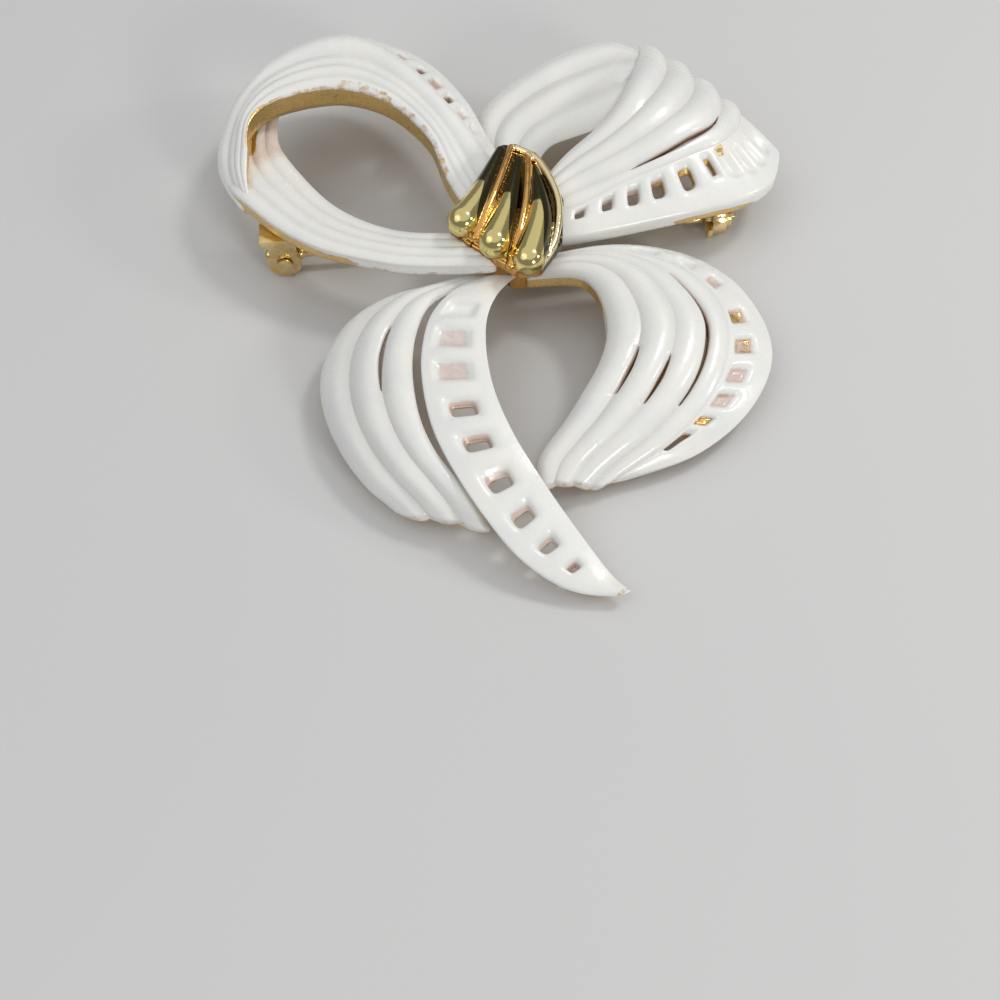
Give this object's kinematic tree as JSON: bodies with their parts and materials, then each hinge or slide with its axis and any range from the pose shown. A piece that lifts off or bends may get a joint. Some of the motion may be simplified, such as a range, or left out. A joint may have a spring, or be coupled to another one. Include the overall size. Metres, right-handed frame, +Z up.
{
  "type": "bow brooch",
  "caption": "Lying ribbon bow brooch with ribbed, pierced enamelled loops and tails, a lobed polished knot, and a hinged pin with a turning catch.",
  "frame": {"origin": "on the table, under the middle of the brooch's bounding box, as it lies face up", "axes": "+Z up, out of the brooch's front; +Y from the knot towards the two loops, up as worn; +X towards the loop that has the catch behind it"},
  "size_m": [0.062, 0.0698, 0.0124],
  "materials": {
    "loop_upper_left": "glossy warm white enamel over gold-coloured metal",
    "loop_upper_right": "glossy warm white enamel over gold-coloured metal",
    "ribbon_lower_left": "glossy warm white enamel over gold-coloured metal",
    "ribbon_lower_right": "glossy warm white enamel over gold-coloured metal",
    "knot": "polished gold-coloured metal",
    "pin_hinge": "gold-coloured metal, slightly worn",
    "hinge_rivet": "gold-coloured metal, slightly worn",
    "pin_stem": "gold-coloured metal, slightly worn",
    "catch_body": "gold-coloured metal, slightly worn",
    "catch_roller": "gold-coloured metal, slightly worn"
  },
  "bodies": {
    "bow": {"loop_upper_left": "loop_upper_left", "loop_upper_right": "loop_upper_right", "ribbon_lower_left": "ribbon_lower_left", "ribbon_lower_right": "ribbon_lower_right", "knot": "knot", "pin_hinge": "pin_hinge", "hinge_rivet": "hinge_rivet", "catch_body": "catch_body"},
    "pin": {"pin_stem": "pin_stem"},
    "lock": {"catch_roller": "catch_roller"}
  },
  "joints": [
    {"name": "pin_swing", "type": "hinge", "parent": "bow", "child": "pin", "pos_m": [-0.02366, 0.00663, 0.0018], "axis": [-0.1178, 0.993, 0], "range_deg": [0, 95]},
    {"name": "catch_turn", "type": "hinge", "parent": "bow", "child": "lock", "pos_m": [0.02383, 0.01226, 0.0018], "axis": [-0.993, -0.1178, 0], "range_deg": [0, 90]}
  ]
}
